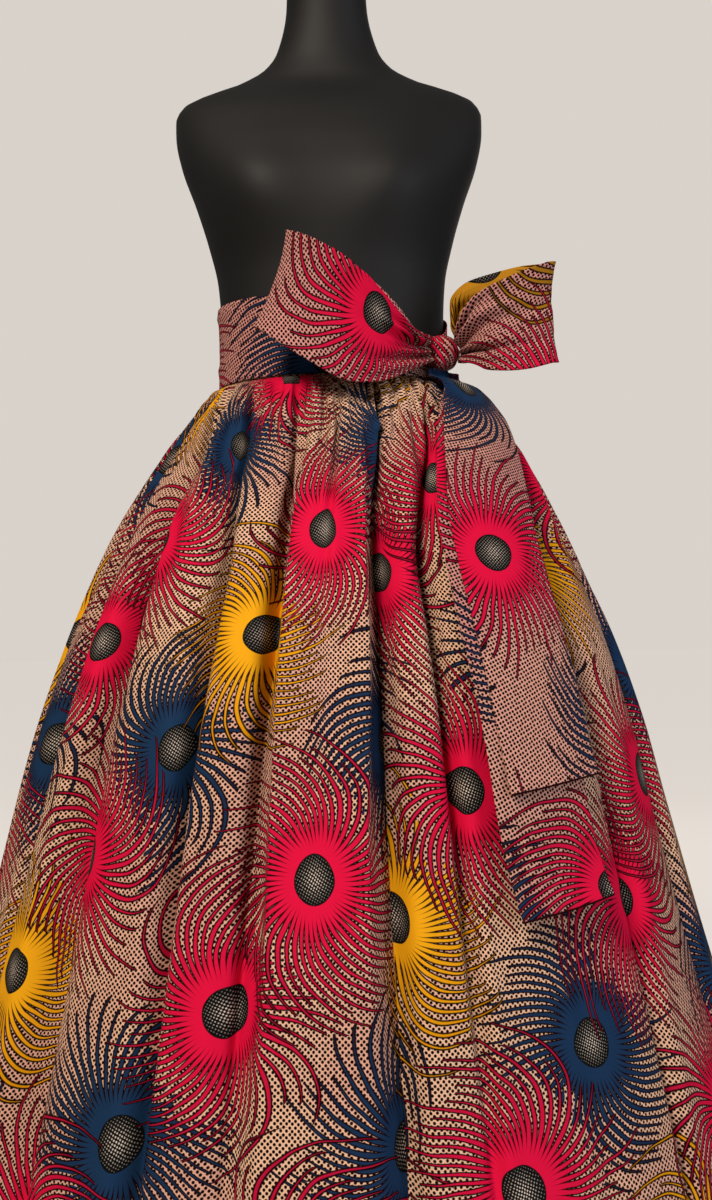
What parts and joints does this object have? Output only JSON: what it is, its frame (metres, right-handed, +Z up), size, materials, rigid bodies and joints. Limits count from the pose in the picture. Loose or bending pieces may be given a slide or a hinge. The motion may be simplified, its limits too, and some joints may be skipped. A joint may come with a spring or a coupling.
{
  "type": "maxi skirt on a dress form",
  "caption": "Full gathered floor-length skirt with a high waistband and a wrapped sash tied in a bow, on a limbless dress form with a round stand.",
  "frame": {"origin": "centre of the stand base's underside, on the floor, below the dress form's axis", "axes": "+Z up, -Y towards the front of the skirt, +X towards the wearer's left"},
  "size_m": [1.0548, 1.0573, 1.56],
  "materials": {
    "skirt_print": "printed cotton, lightly glazed",
    "sash_print": "printed cotton, lightly glazed",
    "form_jersey": "black knitted cover, matt",
    "stand_metal": "black satin paint"
  },
  "bodies": {
    "root": {"front_panel": "skirt_print", "left_panel": "skirt_print", "back_panel": "skirt_print", "waistband": "skirt_print", "sash_wrap": "sash_print", "sash_knot": "sash_print", "sash_loop_right": "sash_print", "sash_loop_left": "sash_print", "sash_tail_upper": "sash_print", "sash_tail_lower": "sash_print", "form_torso": "form_jersey", "stand_pole": "stand_metal", "stand_base": "stand_metal"}
  },
  "joints": []
}
